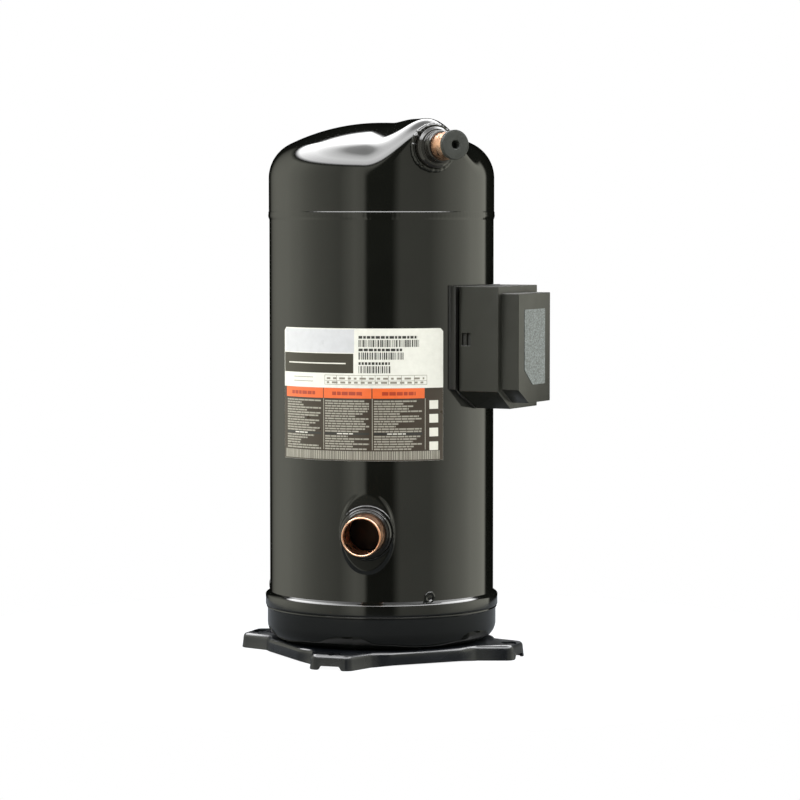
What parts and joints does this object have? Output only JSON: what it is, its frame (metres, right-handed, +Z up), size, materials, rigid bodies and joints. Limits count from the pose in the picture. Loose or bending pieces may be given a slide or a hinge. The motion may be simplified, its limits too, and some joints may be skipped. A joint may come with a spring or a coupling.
{
  "type": "scroll compressor",
  "caption": "Hermetic scroll compressor: glossy cylindrical shell on a footed base plate, copper suction and discharge stubs, side terminal box, and a working motor and scroll set inside.",
  "frame": {"origin": "centre of the mounting-hole square on the shell axis, at floor level", "axes": "+Z up along the shell and crankshaft axis, -Y the front, +X to the right; the base square lies along X and Y"},
  "size_m": [0.2524, 0.2763, 0.5334],
  "materials": {
    "base_paint": "gloss",
    "shell_paint": "gloss",
    "fitting_steel": "satin",
    "copper_tube": "satin",
    "plug_rubber": "matte",
    "gasket_rubber": "matte",
    "box_plastic": "satin",
    "decal_foil": "satin",
    "terminal_steel": "satin",
    "sealing_glass": "gloss",
    "block_plastic": "satin",
    "plated_screw": "satin",
    "label_film": "satin",
    "plate_steel": "satin",
    "cast_iron": "satin",
    "bearing_bronze": "satin",
    "bolt_steel": "satin",
    "valve_brass": "satin",
    "spring_steel": "satin",
    "seal_iron": "satin",
    "seal_polymer": "matte",
    "lamination_steel": "satin",
    "winding_copper": "gloss",
    "lead_insulation": "satin",
    "connector_plastic": "satin",
    "magnet_black": "matte",
    "shaft_steel": "polished",
    "cast_aluminium": "satin",
    "counterweight_iron": "satin"
  },
  "bodies": {
    "shell": {"base_plate": "base_paint", "lower_cup": "shell_paint", "shell_tube": "shell_paint", "top_cap": "shell_paint", "shell_weld_beads": "shell_paint", "fitting_welds": "shell_paint", "suction_fitting": "fitting_steel", "suction_stub": "copper_tube", "discharge_fitting": "fitting_steel", "discharge_stub": "copper_tube", "box_gasket": "gasket_rubber", "terminal_box_base": "box_plastic", "terminal_cup": "terminal_steel", "terminal_glass": "sealing_glass", "terminal_pins": "terminal_steel", "terminal_block": "block_plastic", "terminal_screws": "plated_screw", "ground_screw": "plated_screw", "nameplate_label": "label_film", "plug_welds": "shell_paint", "muffler_plate": "plate_steel", "fixed_scroll": "cast_iron", "main_bearing_housing": "cast_iron", "main_bearing_bush": "bearing_bronze", "scroll_bolts": "bolt_steel", "bolt_sleeves": "bolt_steel", "check_valve_retainer": "plate_steel", "relief_valve_body": "valve_brass", "relief_valve_spring": "spring_steel", "thermal_disc": "plate_steel", "stator_core": "lamination_steel", "stator_windings": "winding_copper", "motor_leads": "lead_insulation", "lead_plug": "connector_plastic", "lower_bearing_bracket": "plate_steel", "lower_bearing_bush": "bearing_bronze", "thrust_washer": "bolt_steel", "suction_baffle": "plate_steel", "oil_magnet": "magnet_black"},
    "discharge_plug_body": {"discharge_plug": "plug_rubber"},
    "box_cover": {"terminal_box_cover": "box_plastic", "cover_decal": "decal_foil"},
    "crank": {"crankshaft": "shaft_steel", "oil_pickup": "plate_steel", "rotor_core": "lamination_steel", "rotor_end_rings": "cast_aluminium", "upper_counterweight": "counterweight_iron", "lower_counterweight": "counterweight_iron"},
    "unloader": {"drive_bush": "bearing_bronze"},
    "orbiter": {"orbiting_scroll": "cast_iron", "orbiting_hub_bush": "bearing_bronze"},
    "oldham_carrier": {"oldham_ring": "cast_aluminium"},
    "oldham_guide": {"oldham_keys": "cast_aluminium"},
    "seal_piston": {"floating_seal": "seal_iron", "floating_seal_rings": "seal_polymer"},
    "check_valve": {"check_valve_disc": "plate_steel"},
    "relief_valve": {"relief_valve_poppet": "spring_steel"}
  },
  "joints": [
    {"name": "crank_spin", "type": "hinge", "parent": "shell", "child": "crank", "pos_m": [0, 0, 0.2], "axis": [0, 0, 1], "continuous": true},
    {"name": "unloader_slide", "type": "slide", "parent": "crank", "child": "unloader", "axis": [1, 0, 0], "range_m": [-0.0004, 0]},
    {"name": "scroll_orbit", "type": "hinge", "parent": "unloader", "child": "orbiter", "pos_m": [0.0067, 0, 0.36], "axis": [0, 0, 1], "continuous": true},
    {"name": "oldham_carry", "type": "hinge", "parent": "crank", "child": "oldham_carrier", "pos_m": [0.00335, 0, 0.367], "axis": [0, 0, 1], "continuous": true},
    {"name": "oldham_steady", "type": "hinge", "parent": "oldham_carrier", "child": "oldham_guide", "pos_m": [0, 0, 0.367], "axis": [0, 0, 1], "continuous": true},
    {"name": "seal_lift", "type": "slide", "parent": "shell", "child": "seal_piston", "axis": [0, 0, 1], "range_m": [0, 0.001]},
    {"name": "check_lift", "type": "slide", "parent": "shell", "child": "check_valve", "axis": [0, 0, 1], "range_m": [0, 0.005]},
    {"name": "relief_lift", "type": "slide", "parent": "shell", "child": "relief_valve", "axis": [0, 0, 1], "range_m": [0, 0.0015], "stiffness_N_per_m": 1500, "springref_m": -0.0003, "deforming": ["relief_valve_spring"]},
    {"name": "cover_pull", "type": "slide", "parent": "shell", "child": "box_cover", "axis": [0.632, -0.7749, 0], "range_m": [0, 0.08]},
    {"name": "plug_pull", "type": "slide", "parent": "shell", "child": "discharge_plug_body", "axis": [0.0331, -0.9983, 0.0471], "range_m": [0, 0.06]}
  ],
  "couplings": [
    {"joint": "scroll_orbit", "follows": "crank_spin", "ratio": -1},
    {"joint": "oldham_carry", "follows": "crank_spin", "ratio": -2},
    {"joint": "oldham_steady", "follows": "crank_spin", "ratio": 1}
  ]
}
